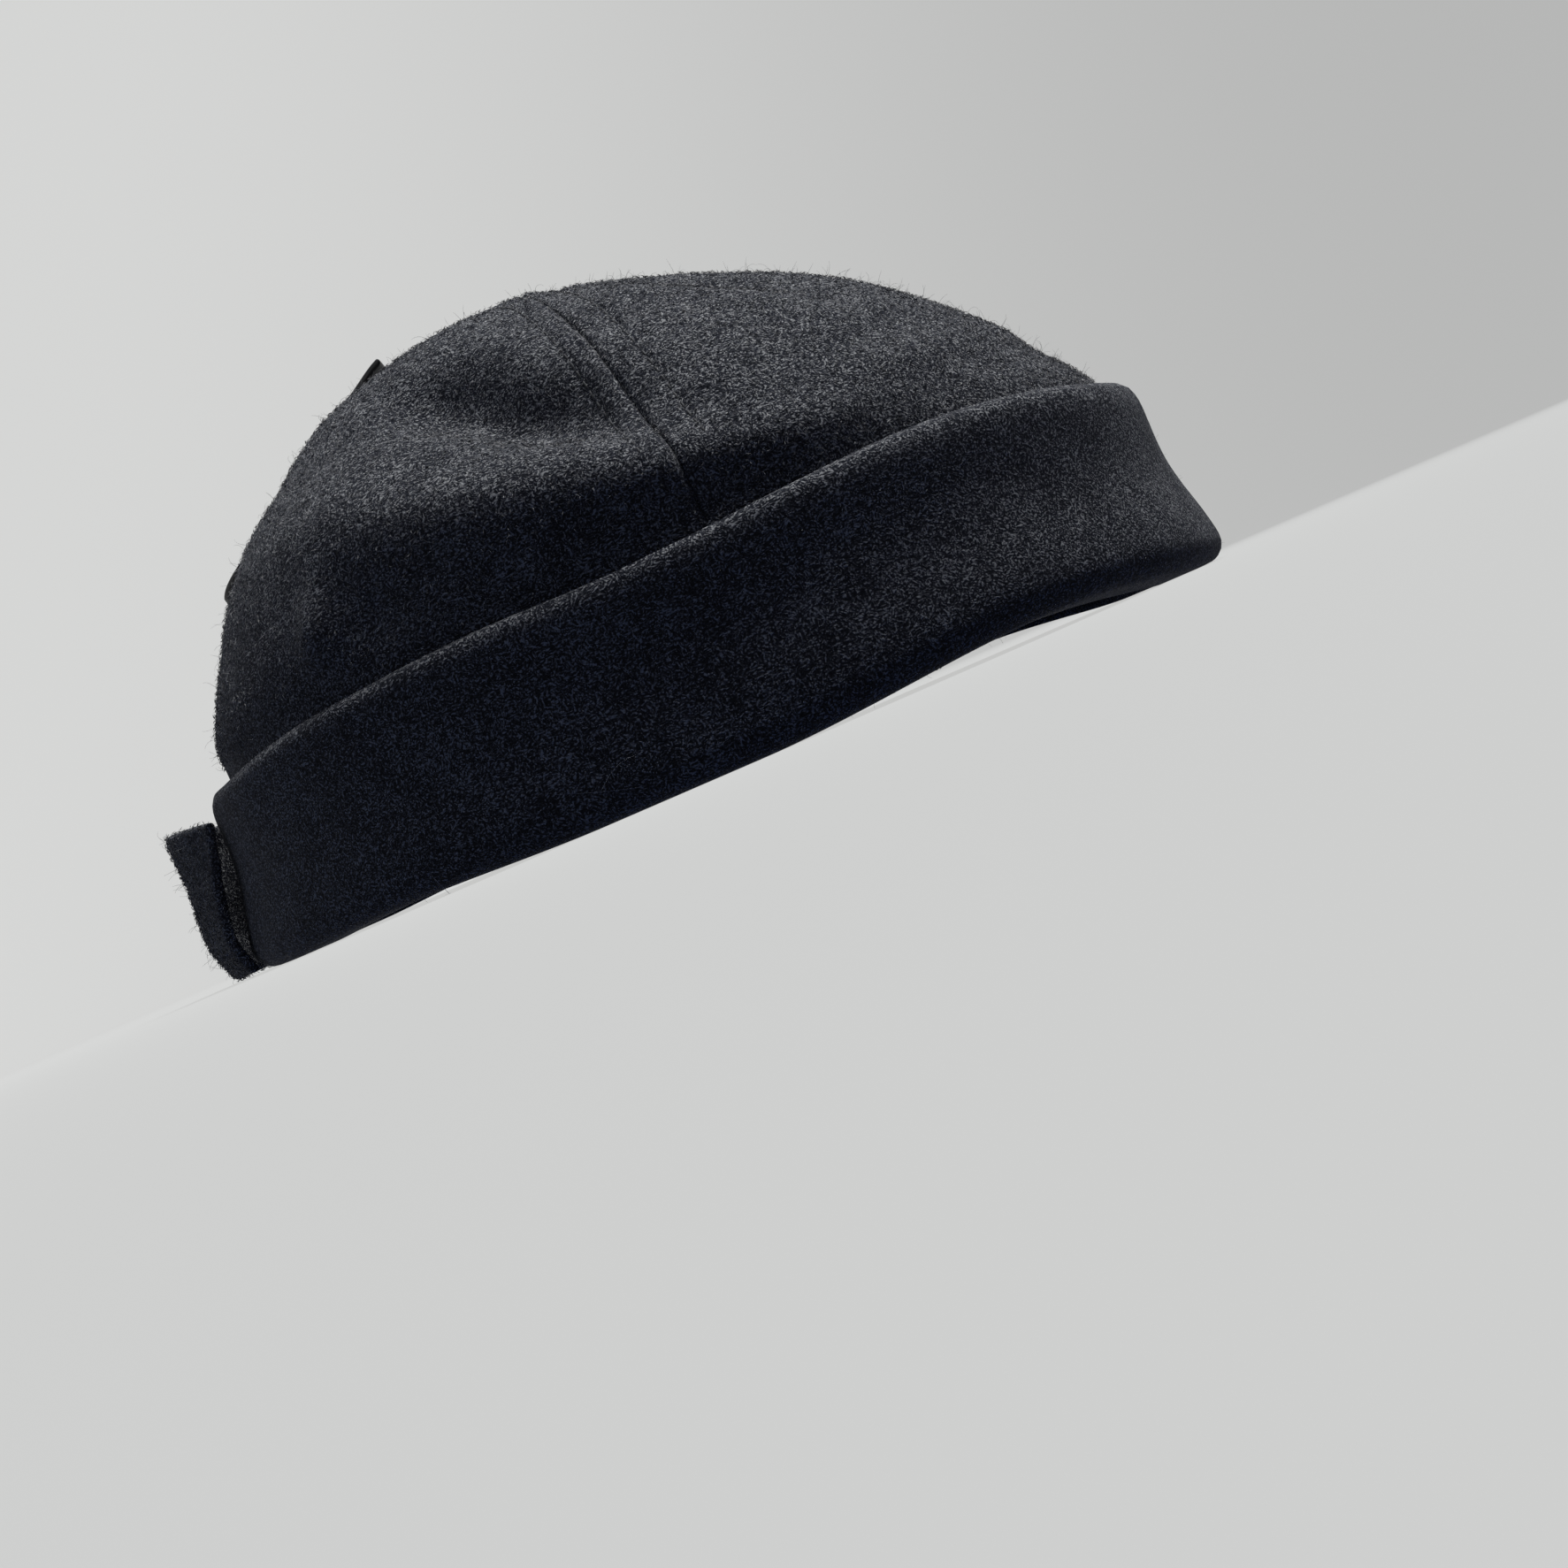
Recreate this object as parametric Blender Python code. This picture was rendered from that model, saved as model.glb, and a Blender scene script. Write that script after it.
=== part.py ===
"""A docker hat: a brimless wool cap with a rolled cuff, as its separate sewn pieces.

Metres. +X is the wearer's front, +Y the wearer's left, +Z up. The hat rests on z = 0.
Directions around the hat are azimuths in degrees, from +X towards +Y.
"""

import math

import bmesh
import bpy
import numpy as np

MM = 0.001

# Crown, measured from the upright line through the point where its seams meet
crown_height = 112.2 * MM
crown_front = 105.2 * MM
crown_back = 96.0 * MM
crown_half_width = 87.5 * MM
crown_wall = 2.0 * MM
crown_squareness = 2.08

# Seams of the crown: the cloth dips along each, and its turned allowance makes a rib
side_seam_azimuth = 79.0
seam_gap = 0.3 * MM
seam_dip = 2.2 * MM
seam_dip_width = 11.0 * MM
seam_dip_low_share = 0.4
seam_groove = 0.9 * MM
seam_groove_width = 1.8 * MM
seam_rib = 0.5 * MM
seam_rib_width = 6.5 * MM
seam_hole_radius = 1.0 * MM

# Cuff: a band of doubled cloth, folded at its top and turned under at its lower edge
cuff_height = 42.2 * MM
cuff_wall = 2.0 * MM
cuff_stand_off = 6.3 * MM
cuff_flare = 4.4 * MM
cuff_fold_drop = 5.0 * MM
cuff_turn_radius = 3.4 * MM
cuff_slot = 9.0 * MM
cuff_clearance = 0.6 * MM

# Back strap: a wool tab over the back of the cuff, sewn down at the corners of its two ends
strap_height = 33.5 * MM
strap_half_length = 31.0 * MM
strap_wall = 2.2 * MM
strap_lift = 0.8 * MM
strap_bow = 9.1 * MM
strap_bow_power = 1.5
strap_end_gape = 3.4 * MM
strap_end_drop = 2.2 * MM
strap_gap = 0.3 * MM

# Patch: thin leather sewn to the back left gore, with both ends curling up off the cloth
patch_length = 60.0 * MM
patch_width = 29.0 * MM
patch_wall = 1.5 * MM
patch_gap = 0.6 * MM
patch_top_curl = 1.2 * MM
patch_low_curl = 3.6 * MM
patch_curl_power = 2.5
patch_free_share = 0.5
patch_end_share = 0.35
patch_near_edge = 0.5 * MM
patch_top_reach = 32.0 * MM

# Over this height above the cuff's fold, the crown's seams and folds reach their full depth
fold_fade = 13.5 * MM

# Sections of the crown from its lower edge to its top, as shares of crown_height,
# crown_front, crown_half_width and crown_back
CROWN_SECTIONS = [
    # height, front, side, back
    (0.000, 0.986, 0.983, 0.979),
    (0.178, 0.995, 0.994, 0.995),
    (0.355, 1.000, 1.000, 1.000),
    (0.417, 0.976, 0.998, 0.997),
    (0.480, 0.915, 0.985, 0.963),
    (0.542, 0.872, 0.950, 0.922),
    (0.604, 0.809, 0.892, 0.884),
    (0.666, 0.740, 0.815, 0.838),
    (0.735, 0.652, 0.716, 0.766),
    (0.799, 0.543, 0.608, 0.672),
    (0.856, 0.423, 0.497, 0.601),
    (0.901, 0.323, 0.394, 0.521),
    (0.940, 0.214, 0.290, 0.410),
    (0.977, 0.104, 0.158, 0.246),
    (1.000, 0.000, 0.000, 0.000),
]

# Dents and folds of the crown. The azimuth and the climb, from 0 at the lower edge to 1 at the
# top, place each one. Its reach across and along and its depth are shares of crown_half_width,
# a ridge has a depth below 0, and lean turns it in degrees.
CROWN_FOLDS = [
    # azimuth, climb, across, along, lean, depth
    (-129, 0.485, 0.22, 0.150, -32, -0.036),
    (-109, 0.400, 0.24, 0.140, -20, -0.034),
    (-87, 0.335, 0.28, 0.150, -12, -0.028),
    (-64, 0.270, 0.28, 0.120, -12, -0.018),
    (-97, 0.570, 0.33, 0.115, -44, 0.115),
    (-131, 0.285, 0.05, 0.180, 0, -0.034),
    (-121, 0.260, 0.07, 0.130, 0, 0.016),
    (-37, 0.700, 0.10, 0.300, 6, 0.031),
    (-40, 0.430, 0.17, 0.080, 10, 0.016),
    (118, 0.500, 0.18, 0.110, 12, 0.018),
    (135, 0.330, 0.06, 0.130, 4, 0.016),
    (48, 0.620, 0.16, 0.200, -12, 0.020),
]

# The cuff round one side of the head, mirrored to the other: its height and its lift off the
# resting plane are shares of cuff_height, and its flare is a share of cuff_flare
CUFF_STATIONS = [
    # azimuth, height, lift, flare
    (0, 0.985, 0.000, 1.00),
    (14, 0.985, 0.000, 1.00),
    (47, 0.995, 0.080, 0.85),
    (84, 1.010, 0.000, 0.65),
    (104, 0.990, 0.000, 0.65),
    (130, 0.950, 0.028, 0.65),
    (158, 0.915, 0.000, 0.80),
    (180, 0.900, 0.000, 0.90),
]

# The cuff's outer face from its fold down, as shares of cuff_height and of its flare
CUFF_FACE = [
    # height, flare
    (0.76, 0.00),
    (0.60, 0.02),
    (0.45, 0.24),
    (0.30, 0.64),
    (0.16, 0.94),
]

# How the strap stands off the cuff, from its lower edge to its top: its bow is a share of
# strap_bow, most at its middle, and its gape a share of strap_end_gape, the same along it
STRAP_BOW = [
    # height, bow, gape
    (0.00, 0.38, 0.00),
    (0.10, 0.47, 0.30),
    (0.25, 0.51, 0.80),
    (0.45, 0.60, 1.00),
    (0.65, 0.69, 0.95),
    (0.85, 0.90, 0.55),
    (1.00, 1.05, 0.15),
]

# How finely each piece is divided
gore_rows = 21
gore_middle_columns = 8
GORE_EDGE_STEPS = [0.0, 1.6 * MM, 4.0 * MM, 8.0 * MM]
cuff_columns = 66
cuff_fold_steps = 5
cuff_turn_steps = 2
cuff_shelf_steps = 2
strap_columns = 14
strap_rows = 7
patch_columns = 14
patch_rows = 6
search_steps = 200

WOOL = ("wool", (0.020, 0.020, 0.024, 1.0), 0.95)
LEATHER = ("leather", (0.008, 0.008, 0.009, 1.0), 0.32)

# The seams, by the side of each that its allowance is pressed to
SEAMS = [
    # azimuth, rib_side
    (0.0, 1),
    (side_seam_azimuth, 1),
    (180.0, 1),
    (-side_seam_azimuth, -1),
]

GORES = [
    # name, from_azimuth, to_azimuth
    ("crown_front_left", 0.0, side_seam_azimuth),
    ("crown_back_left", side_seam_azimuth, 180.0),
    ("crown_back_right", -180.0, -side_seam_azimuth),
    ("crown_front_right", -side_seam_azimuth, 0.0),
]


def clear_scene():
    for thing in list(bpy.data.objects):
        bpy.data.objects.remove(thing, do_unlink=True)


def smooth_step(value):
    value = np.clip(value, 0.0, 1.0)
    return value * value * (3.0 - 2.0 * value)


def turned_by(azimuth, other):
    """The angle in degrees from one azimuth to another, between -180 and 180."""
    return (azimuth - other + 180.0) % 360.0 - 180.0


def column(table, place):
    return np.array([row[place] for row in table], dtype=float)


def spline(values, before, after, place):
    """A smooth curve through evenly placed values, read at place from 0 to 1."""
    padded = np.concatenate([[before], values, [after]])
    spans = len(values) - 1
    where = np.clip(np.asarray(place, dtype=float), 0.0, 1.0) * spans
    first = np.minimum(where.astype(int), spans - 1)
    part = where - first
    a, b, c, d = (padded[first + step] for step in range(4))
    bend = 2 * a - 5 * b + 4 * c - d
    twist = 3 * (b - c) + d - a
    return b + 0.5 * part * (c - a + part * (bend + part * twist))


def crown_reach(climb, place, size):
    """How far a section lies from the upright line, in the direction of one column."""
    shares = column(CROWN_SECTIONS, place)
    return size * spline(shares, 2 * shares[0] - shares[1], -shares[-2], climb)


def crown_level(climb):
    shares = column(CROWN_SECTIONS, 0)
    return crown_height * spline(shares, 2 * shares[0] - shares[1], shares[-2], climb)


def cuff_station(azimuth, place):
    """One column of the cuff's stations at an azimuth, the same on both sides."""
    places = column(CUFF_STATIONS, 0)
    values = column(CUFF_STATIONS, place)
    away = np.abs(turned_by(np.asarray(azimuth, dtype=float), 0.0))
    after = np.clip(np.searchsorted(places, away, side="right"), 1, len(places) - 1)
    part = smooth_step((away - places[after - 1]) / (places[after] - places[after - 1]))
    return values[after - 1] + part * (values[after] - values[after - 1])


def crown_base(azimuth, climb):
    """A point of the crown's smooth outer form, before its seams and folds."""
    angle = np.radians(azimuth)
    ahead = crown_reach(climb, 1, crown_front)
    behind = crown_reach(climb, 3, crown_back)
    forward = np.where(np.cos(angle) >= 0, ahead, behind)
    sideways = crown_reach(climb, 2, crown_half_width)
    forward = np.maximum(forward, seam_hole_radius)
    sideways = np.maximum(sideways, seam_hole_radius)
    power = crown_squareness
    spread = (np.abs(np.cos(angle)) / forward) ** power + (np.abs(np.sin(angle)) / sideways) ** power
    radius = spread ** (-1.0 / power)
    level = crown_level(climb)
    # The lower edge sits on the turned edge of the cuff, and follows its lift
    edge = cuff_wall + seam_gap + cuff_height * cuff_station(azimuth, 2)
    level = level + edge * (1.0 - smooth_step(level / cuff_height))
    return np.stack([radius * np.cos(angle), radius * np.sin(angle), level], axis=-1)


def crown_outward(azimuth, climb):
    """The outward direction of the crown's smooth form."""
    turn = 0.5
    rise = 0.004
    low = np.clip(climb - rise, 0.0, 1.0 - 2.5 * rise)
    high = low + 2.0 * rise
    across = crown_base(azimuth + turn, low) - crown_base(azimuth - turn, low)
    upward = crown_base(azimuth, high) - crown_base(azimuth, low)
    outward = np.cross(across, upward)
    return outward / np.linalg.norm(outward, axis=-1, keepdims=True)


def seam_depth(azimuth, radius, climb):
    """How far the seams draw the crown in, less the rib beside each."""
    depth = np.zeros(np.broadcast(azimuth, radius).shape)
    fade = seam_dip_low_share + (1.0 - seam_dip_low_share) * smooth_step(climb)
    ribs = np.zeros_like(depth)
    for seam, rib_side in SEAMS:
        turned = np.radians(turned_by(azimuth, seam))
        near = np.where(np.abs(turned) < math.pi / 2, np.abs(radius * np.sin(turned)), radius)
        dip = seam_dip * fade * np.exp(-((near / seam_dip_width) ** 2))
        groove = seam_groove * np.exp(-((near / seam_groove_width) ** 2))
        depth = np.maximum(depth, dip + groove)
        beside = near * np.sign(turned) * rib_side
        rise = smooth_step(beside / seam_groove_width)
        fall = smooth_step((seam_rib_width - beside) / seam_groove_width)
        ribs = np.maximum(ribs, seam_rib * rise * fall)
    return depth - ribs


def crown_side_length():
    """The length of the cloth from the crown's lower edge to its top, over its side."""
    climbs = np.linspace(0.0, 1.0, search_steps + 1)
    reach = crown_reach(climbs, 2, crown_half_width)
    level = crown_level(climbs)
    return float(np.sum(np.hypot(np.diff(reach), np.diff(level))))


def fold_depth(azimuth, radius, climb):
    """How far the dents and folds draw the crown in."""
    depth = np.zeros(np.broadcast(azimuth, radius).shape)
    meridian = crown_side_length()
    for place, at_climb, across, along, lean, deep in CROWN_FOLDS:
        sideways = np.radians(turned_by(azimuth, place)) * radius
        upward = (climb - at_climb) * meridian
        turn = math.radians(lean)
        a = (sideways * math.cos(turn) + upward * math.sin(turn)) / (across * crown_half_width)
        b = (upward * math.cos(turn) - sideways * math.sin(turn)) / (along * crown_half_width)
        depth += deep * crown_half_width * np.exp(-(a * a) - b * b)
    return depth


def crown_point(azimuth, climb):
    """A point of the crown's outer face, with its seams and folds."""
    base = crown_base(azimuth, climb)
    radius = np.hypot(base[..., 0], base[..., 1])
    depth = seam_depth(azimuth, radius, climb) + fold_depth(azimuth, radius, climb)
    # Inside the cuff the crown is held smooth
    free = smooth_step((base[..., 2] - cuff_height) / fold_fade)
    return base - crown_outward(azimuth, climb) * (depth * free)[..., None]


def gore_grid(start, stop):
    """Points of one gore's outer face, a row of columns for each climb. Its side edges keep half
    the seam gap to the seams' planes, and its columns crowd towards them."""
    climbs = np.linspace(0.0, 1.0, gore_rows + 1)
    rows = []
    for climb in climbs:
        middle = crown_base(np.array(0.5 * (start + stop)), climb)
        radius = math.hypot(middle[0], middle[1])
        half = 0.5 * math.radians(stop - start) * radius
        crowd = min(1.0, half / (2.0 * GORE_EDGE_STEPS[-1]))
        edge = [step * crowd for step in GORE_EDGE_STEPS]
        inner = list(np.linspace(edge[-1], 2 * half - edge[-1], gore_middle_columns + 1))[1:-1]
        places = np.array(edge + inner + [2 * half - step for step in reversed(edge)])
        inset = math.degrees(math.asin(0.5 * seam_gap / radius))
        azimuths = start + inset + (stop - start - 2 * inset) * places / (2 * half)
        rows.append(crown_point(azimuths, np.full_like(azimuths, climb)))
    return rows


def cuff_frame(azimuth):
    """The crown's widest outline, which the cuff stands round, and the level direction away."""
    widest = float(np.argmax(column(CROWN_SECTIONS, 2))) / (len(CROWN_SECTIONS) - 1)
    turn = 0.5
    place = crown_base(azimuth, widest)
    across = crown_base(azimuth + turn, widest) - crown_base(azimuth - turn, widest)
    outward = np.stack([across[..., 1], -across[..., 0]], axis=-1)
    return place[..., :2], outward / np.linalg.norm(outward, axis=-1, keepdims=True)


def cuff_face_out(azimuth, height_share):
    """How far the middle of the cuff's outer leaf stands from the crown's outline."""
    shares = [0.0, *column(CUFF_FACE, 0)[::-1]]
    flares = [1.0, *column(CUFF_FACE, 1)[::-1]]
    flare = cuff_flare * cuff_station(azimuth, 3) * np.interp(height_share, shares, flares)
    return cuff_stand_off - 0.5 * cuff_wall + flare


def cuff_path(azimuth):
    """The middle of the cuff's cloth at one azimuth, as (out, up): up the inner leaf, over the
    fold, down the outer leaf, and under to the crown's inner face."""
    height = cuff_height * float(cuff_station(azimuth, 1))
    inner = cuff_clearance + 0.5 * cuff_wall
    outer = cuff_stand_off - 0.5 * cuff_wall
    low_fold = height - 0.5 * cuff_wall - cuff_fold_drop
    path = [(inner, cuff_slot), (inner, 0.5 * (cuff_slot + low_fold))]
    for step in range(cuff_fold_steps + 1):
        angle = math.pi * (1.0 - step / cuff_fold_steps)
        out = 0.5 * (inner + outer) + 0.5 * (outer - inner) * math.cos(angle)
        path.append((out, low_fold + cuff_fold_drop * math.sin(angle)))
    for share, _ in CUFF_FACE:
        path.append((float(cuff_face_out(azimuth, share)), height * share))
    reach = outer + cuff_flare * float(cuff_station(azimuth, 3))
    for step in range(cuff_turn_steps + 1):
        angle = 0.5 * math.pi * step / cuff_turn_steps
        out = reach - cuff_turn_radius * (1.0 - math.cos(angle))
        path.append((out, 0.5 * cuff_wall + cuff_turn_radius * (1.0 - math.sin(angle))))
    shelf_start = reach - cuff_turn_radius
    edge = crown_base(np.array(azimuth), 0.0)
    outline, outward = cuff_frame(np.array(azimuth))
    shelf_end = float(np.dot(edge[:2] - outline, outward)) - crown_wall
    for step in range(1, cuff_shelf_steps + 1):
        out = shelf_start + (shelf_end - shelf_start) * step / cuff_shelf_steps
        path.append((out, 0.5 * cuff_wall))
    return path


def cuff_grid():
    rows = []
    for step in range(cuff_columns):
        azimuth = 360.0 * step / cuff_columns
        outline, outward = cuff_frame(np.array(azimuth))
        lift = cuff_height * float(cuff_station(azimuth, 2))
        row = [(*(outline + outward * out), up + lift) for out, up in cuff_path(azimuth)]
        rows.append(np.array(row))
    return rows


def cuff_back_face(place, height, gap):
    """A point this far off the cuff's outer face, at a share of the strap's half length."""
    turned = math.degrees(math.asin(strap_half_length * place / (crown_back + cuff_stand_off)))
    azimuth = np.array(180.0 - turned)
    outline, outward = cuff_frame(azimuth)
    full = cuff_height * float(cuff_station(azimuth, 1))
    out = float(cuff_face_out(azimuth, height / full)) + 0.5 * cuff_wall + gap
    return outline + outward * out


def strap_grid():
    """The middle of the strap's cloth. It bows away from the cuff, and its ends gape."""
    rows = []
    for step in range(strap_rows + 1):
        rise = step / strap_rows
        bow = strap_bow * np.interp(rise, column(STRAP_BOW, 0), column(STRAP_BOW, 1))
        gape = strap_end_gape * np.interp(rise, column(STRAP_BOW, 0), column(STRAP_BOW, 2))
        row = []
        for place in np.linspace(-1.0, 1.0, strap_columns + 1):
            height = strap_lift + (strap_height - strap_end_drop * place**2) * rise
            x, y = cuff_back_face(place, height, strap_gap + 0.5 * strap_wall)
            away = bow * (1.0 - place**2) ** strap_bow_power + gape
            row.append((x - away, y, height))
        rows.append(np.array(row))
    return rows


def over_crown(x, y, away, held):
    """The point this far off the crown, over a place in plan. It follows the seams and folds by
    the share that it is held."""
    climbs = np.linspace(1.0, 0.0, search_steps + 1)
    azimuth = math.degrees(math.atan2(y, x))
    section = crown_base(np.full_like(climbs, azimuth), climbs)
    climb = np.interp(math.hypot(x, y), np.hypot(section[:, 0], section[:, 1]), climbs)
    azimuth = np.array(azimuth)
    cloth = held * crown_point(azimuth, climb) + (1.0 - held) * crown_base(azimuth, climb)
    return cloth + crown_outward(azimuth, climb) * away


def patch_grid():
    """The middle of the patch's leather, from its square upper end to its round lower end."""
    middle = patch_near_edge + 0.5 * patch_width
    step_length = patch_length / patch_columns
    x = -patch_top_reach
    rows = []
    for step in range(patch_columns + 1):
        share = step / patch_columns
        corner = max(0.0, 1.0 - patch_length * (1.0 - share) / (0.5 * patch_width))
        round_share = patch_end_share + (1.0 - patch_end_share) * math.sqrt(1.0 - corner**2)
        half = 0.5 * patch_width * round_share
        ends = abs(2.0 * share - 1.0)
        held = smooth_step((1.0 - ends) / patch_free_share)
        curl = (patch_top_curl if share < 0.5 else patch_low_curl) * ends**patch_curl_power
        away = patch_gap + 0.5 * patch_wall + curl
        places = middle + half * np.linspace(-1.0, 1.0, patch_rows + 1)
        rows.append(np.array([over_crown(x, y, away, held) for y in places]))
        slope = over_crown(x - MM, middle, 0.0, 0.0) - over_crown(x, middle, 0.0, 0.0)
        x -= MM * step_length / float(np.linalg.norm(slope))
    return rows


def sheet_mesh(name, rows, closed):
    """A grid of points as an open sheet of quads. A closed grid joins its last row to its first."""
    shape = bmesh.new()
    verts = [[shape.verts.new(point) for point in row] for row in rows]
    pairs = list(zip(verts, verts[1:] + verts[:1])) if closed else list(zip(verts, verts[1:]))
    for low, high in pairs:
        for left in range(len(low) - 1):
            shape.faces.new((low[left], low[left + 1], high[left + 1], high[left]))
    mesh = bpy.data.meshes.new(name)
    shape.to_mesh(mesh)
    shape.free()
    mesh.shade_smooth()
    return mesh


def material(name, colour, roughness):
    made = bpy.data.materials.get(name) or bpy.data.materials.new(name)
    made.use_nodes = True
    surface = made.node_tree.nodes["Principled BSDF"]
    surface.inputs["Base Color"].default_value = colour
    surface.inputs["Roughness"].default_value = roughness
    surface.inputs["Metallic"].default_value = 0.0
    return made


def piece(name, rows, wall, offset, finish, closed=False):
    """One piece of the hat: a sheet given its wall by a Solidify modifier. With offset -1 the
    wall goes in from the sheet, and with 0 the sheet is its middle."""
    thing = bpy.data.objects.new(name, sheet_mesh(name, rows, closed))
    bpy.context.scene.collection.objects.link(thing)
    thing.location.x = axis_x
    thing.data.materials.append(material(*finish))
    solid = thing.modifiers.new("wall", "SOLIDIFY")
    solid.thickness = wall
    solid.offset = offset
    solid.use_rim = True
    return thing


def seam_axis_x():
    """The x of the upright line through the seams' meeting point, with the hat centred on x = 0."""
    front = crown_front + cuff_stand_off + cuff_flare * float(cuff_station(0.0, 3))
    back = -min(point[0] for row in strap_grid() for point in row) + 0.5 * strap_wall
    return 0.5 * (back - front)


clear_scene()
axis_x = seam_axis_x()
for gore_name, gore_start, gore_stop in GORES:
    piece(gore_name, gore_grid(gore_start, gore_stop), crown_wall, -1.0, WOOL)
piece("cuff", cuff_grid(), cuff_wall, 0.0, WOOL, closed=True)
piece("back_strap", strap_grid(), strap_wall, 0.0, WOOL)
piece("leather_patch", patch_grid(), patch_wall, 0.0, LEATHER)
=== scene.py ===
"""The looks of a docker hat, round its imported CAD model.

Metres. +X is the wearer's front, +Y the wearer's left, +Z up, and the hat rests on z = 0.
The cloth's surfaces come from the same sizes and tables as the CAD model, with finer relief.
"""

import itertools
import math

import bpy
import numpy as np
from mathutils import Matrix, Vector


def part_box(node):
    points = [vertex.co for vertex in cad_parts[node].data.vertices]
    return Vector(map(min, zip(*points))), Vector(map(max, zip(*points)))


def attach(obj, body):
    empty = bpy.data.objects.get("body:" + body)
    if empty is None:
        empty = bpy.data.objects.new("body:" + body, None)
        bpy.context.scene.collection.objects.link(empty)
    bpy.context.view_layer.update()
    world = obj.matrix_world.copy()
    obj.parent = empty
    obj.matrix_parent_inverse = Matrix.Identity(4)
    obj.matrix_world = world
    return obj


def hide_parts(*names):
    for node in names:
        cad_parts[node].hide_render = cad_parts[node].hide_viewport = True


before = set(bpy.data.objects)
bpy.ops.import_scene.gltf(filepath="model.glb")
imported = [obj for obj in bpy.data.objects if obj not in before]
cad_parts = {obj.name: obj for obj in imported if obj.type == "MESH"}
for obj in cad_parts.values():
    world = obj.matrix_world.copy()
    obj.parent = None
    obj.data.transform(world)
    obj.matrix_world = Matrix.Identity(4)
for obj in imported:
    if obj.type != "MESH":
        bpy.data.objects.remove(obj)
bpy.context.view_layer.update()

MM = 0.001

# Crown, measured from the upright line through the point where its seams meet
crown_height = 112.2 * MM
crown_front = 105.2 * MM
crown_back = 96.0 * MM
crown_half_width = 87.5 * MM
crown_wall = 2.0 * MM
crown_squareness = 2.08
crown_shelf_gap = 0.3 * MM

# Seams of the crown
side_seam_azimuth = 79.0
seam_overlap = 0.10 * MM
seam_dip = 2.2 * MM
seam_dip_width = 11.0 * MM
seam_dip_low_share = 0.4
seam_roll = 1.5 * MM
seam_rib = 0.5 * MM
seam_rib_rise = 1.8 * MM
seam_rib_width = 6.5 * MM
seam_hole_radius = 0.1 * MM
allowance_wall = 1.5 * MM

# Cuff
cuff_height = 42.2 * MM
cuff_wall = 2.0 * MM
cuff_stand_off = 6.3 * MM
cuff_flare = 4.4 * MM
cuff_fold_drop = 5.0 * MM
cuff_turn_radius = 3.4 * MM
cuff_slot = 9.0 * MM
cuff_clearance = 0.6 * MM

# Back strap
strap_height = 33.5 * MM
strap_half_length = 31.0 * MM
strap_wall = 2.2 * MM
strap_lift = 0.8 * MM
strap_bow = 9.1 * MM
strap_bow_power = 1.5
strap_end_gape = 3.4 * MM
strap_end_drop = 2.2 * MM
strap_gap = 0.3 * MM

# Patch
patch_length = 60.0 * MM
patch_width = 29.0 * MM
patch_wall = 1.5 * MM
patch_gap = 0.6 * MM
patch_top_curl = 1.2 * MM
patch_low_curl = 3.6 * MM
patch_curl_power = 2.5
patch_free_share = 0.5
patch_end_share = 0.35
patch_near_edge = 0.5 * MM
patch_top_reach = 32.0 * MM

# Over these heights above the cuff's fold, the crown's folds and its seams reach full depth
fold_fade = 13.5 * MM
seam_fade = 5.0 * MM

# Sections of the crown from its lower edge to its top, as shares of crown_height,
# crown_front, crown_half_width and crown_back
CROWN_SECTIONS = [
    # height, front, side, back
    (0.000, 0.986, 0.983, 0.979),
    (0.178, 0.995, 0.994, 0.995),
    (0.355, 1.000, 1.000, 1.000),
    (0.417, 0.976, 0.998, 0.997),
    (0.480, 0.915, 0.985, 0.963),
    (0.542, 0.872, 0.950, 0.922),
    (0.604, 0.809, 0.892, 0.884),
    (0.666, 0.740, 0.815, 0.838),
    (0.735, 0.652, 0.716, 0.766),
    (0.799, 0.543, 0.608, 0.672),
    (0.856, 0.423, 0.497, 0.601),
    (0.901, 0.323, 0.394, 0.521),
    (0.940, 0.214, 0.290, 0.410),
    (0.977, 0.104, 0.158, 0.246),
    (1.000, 0.000, 0.000, 0.000),
]

# Dents and folds of the crown, placed by azimuth and by climb, from 0 at the lower edge to 1 at
# the top. Their reach and depth are shares of crown_half_width, a ridge's depth is below 0, and
# lean turns them in degrees. The CAD model lacks the last one.
CROWN_FOLDS = [
    # azimuth, climb, across, along, lean, depth
    (-129, 0.485, 0.22, 0.150, -32, -0.036),
    (-109, 0.400, 0.24, 0.140, -20, -0.034),
    (-87, 0.335, 0.28, 0.150, -12, -0.028),
    (-64, 0.270, 0.28, 0.120, -12, -0.018),
    (-97, 0.570, 0.33, 0.115, -44, 0.115),
    (-131, 0.285, 0.05, 0.180, 0, -0.034),
    (-121, 0.260, 0.07, 0.130, 0, 0.016),
    (-37, 0.700, 0.10, 0.300, 6, 0.031),
    (-40, 0.430, 0.17, 0.080, 10, 0.016),
    (118, 0.500, 0.18, 0.110, 12, 0.018),
    (135, 0.330, 0.06, 0.130, 4, 0.016),
    (48, 0.620, 0.16, 0.200, -12, 0.020),
    (-117, 0.660, 0.13, 0.090, -44, 0.030),
]

# The cuff round one side, mirrored to the other, as shares of cuff_height and cuff_flare
CUFF_STATIONS = [
    # azimuth, height, lift, flare
    (0, 0.985, 0.000, 1.00),
    (14, 0.985, 0.000, 1.00),
    (47, 0.995, 0.080, 0.85),
    (84, 1.010, 0.000, 0.65),
    (104, 0.990, 0.000, 0.65),
    (130, 0.950, 0.028, 0.65),
    (158, 0.915, 0.000, 0.80),
    (180, 0.900, 0.000, 0.90),
]

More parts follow.
